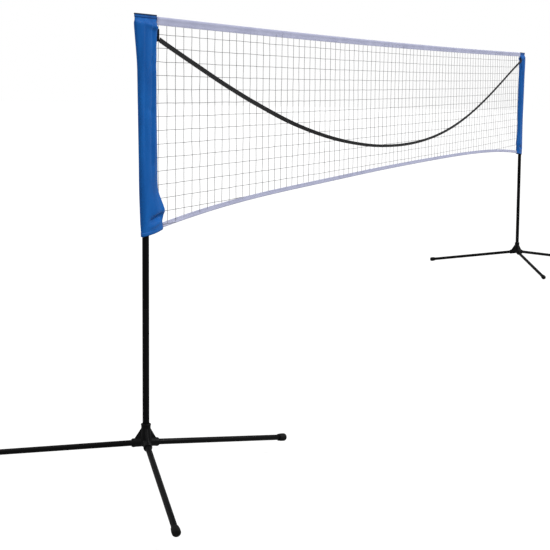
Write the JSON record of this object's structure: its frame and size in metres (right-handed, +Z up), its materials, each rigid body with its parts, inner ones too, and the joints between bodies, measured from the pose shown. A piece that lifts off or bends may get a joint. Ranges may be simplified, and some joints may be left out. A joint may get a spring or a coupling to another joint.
{
  "type": "portable badminton net",
  "caption": "Free-standing badminton net: two sectional posts in plug-in tripod bases, netting with tape borders between cloth post sleeves, and a slack hanging strap.",
  "frame": {"origin": "on the floor, at the centre of the rectangle around the six feet", "axes": "+X along the net from the left post (the nearer one in the picture) to the right post, +Z up, +Y away from the side the strap hangs on"},
  "size_m": [6.8214, 1.0495, 1.55],
  "materials": {
    "powder_coated_tube": "satin",
    "ferrule_steel": "satin",
    "hub_plastic": "satin",
    "foot_rubber": "matte",
    "sleeve_cloth": "satin",
    "net_mesh": "matte",
    "tape": "matte",
    "carrying_cord": "matte",
    "strap_webbing": "matte"
  },
  "bodies": {
    "net_and_posts": {"left_upper_tube": "powder_coated_tube", "left_middle_tube": "powder_coated_tube", "left_lower_ferrule": "ferrule_steel", "left_upper_ferrule": "ferrule_steel", "left_post_cap": "hub_plastic", "left_sleeve": "sleeve_cloth", "left_strap_tab": "strap_webbing", "right_upper_tube": "powder_coated_tube", "right_middle_tube": "powder_coated_tube", "right_lower_ferrule": "ferrule_steel", "right_upper_ferrule": "ferrule_steel", "right_post_cap": "hub_plastic", "right_sleeve": "sleeve_cloth", "right_strap_tab": "strap_webbing", "net_panel": "net_mesh", "top_tape": "tape", "bottom_tape": "tape", "top_cord": "carrying_cord", "hanging_strap": "strap_webbing"},
    "left_lower_post": {"left_lower_tube": "powder_coated_tube"},
    "left_tripod_hub": {"left_hub": "hub_plastic"},
    "left_leg_1": {"left_leg_1_tube": "powder_coated_tube", "left_leg_1_foot": "foot_rubber"},
    "left_leg_2": {"left_leg_2_tube": "powder_coated_tube", "left_leg_2_foot": "foot_rubber"},
    "left_leg_3": {"left_leg_3_tube": "powder_coated_tube", "left_leg_3_foot": "foot_rubber"},
    "right_lower_post": {"right_lower_tube": "powder_coated_tube"},
    "right_tripod_hub": {"right_hub": "hub_plastic"},
    "right_leg_1": {"right_leg_1_tube": "powder_coated_tube", "right_leg_1_foot": "foot_rubber"},
    "right_leg_2": {"right_leg_2_tube": "powder_coated_tube", "right_leg_2_foot": "foot_rubber"},
    "right_leg_3": {"right_leg_3_tube": "powder_coated_tube", "right_leg_3_foot": "foot_rubber"}
  },
  "joints": [
    {"name": "left_post_pull_off", "type": "slide", "parent": "net_and_posts", "child": "left_lower_post", "axis": [0, 0, -1], "range_m": [0, 0.04]},
    {"name": "left_hub_swivel", "type": "hinge", "parent": "left_lower_post", "child": "left_tripod_hub", "pos_m": [-2.87575, -0.13482, 0.11207], "axis": [0, 0, 1], "continuous": true},
    {"name": "left_leg_1_pull_out", "type": "slide", "parent": "left_tripod_hub", "child": "left_leg_1", "axis": [0.903, -0.4021, -0.1513], "range_m": [0, 0.03]},
    {"name": "left_leg_2_pull_out", "type": "slide", "parent": "left_tripod_hub", "child": "left_leg_2", "axis": [-0.1033, 0.9831, -0.1513], "range_m": [0, 0.03]},
    {"name": "left_leg_3_pull_out", "type": "slide", "parent": "left_tripod_hub", "child": "left_leg_3", "axis": [-0.7997, -0.581, -0.1513], "range_m": [0, 0.03]},
    {"name": "right_post_pull_off", "type": "slide", "parent": "net_and_posts", "child": "right_lower_post", "axis": [0, 0, -1], "range_m": [0, 0.04]},
    {"name": "right_hub_swivel", "type": "hinge", "parent": "right_lower_post", "child": "right_tripod_hub", "pos_m": [2.84425, -0.13482, 0.11207], "axis": [0, 0, 1], "continuous": true},
    {"name": "right_leg_1_pull_out", "type": "slide", "parent": "right_tripod_hub", "child": "right_leg_1", "axis": [0.8473, -0.5091, -0.1513], "range_m": [0, 0.03]},
    {"name": "right_leg_2_pull_out", "type": "slide", "parent": "right_tripod_hub", "child": "right_leg_2", "axis": [0.0173, 0.9883, -0.1513], "range_m": [0, 0.03]},
    {"name": "right_leg_3_pull_out", "type": "slide", "parent": "right_tripod_hub", "child": "right_leg_3", "axis": [-0.8646, -0.4792, -0.1513], "range_m": [0, 0.03]}
  ]
}
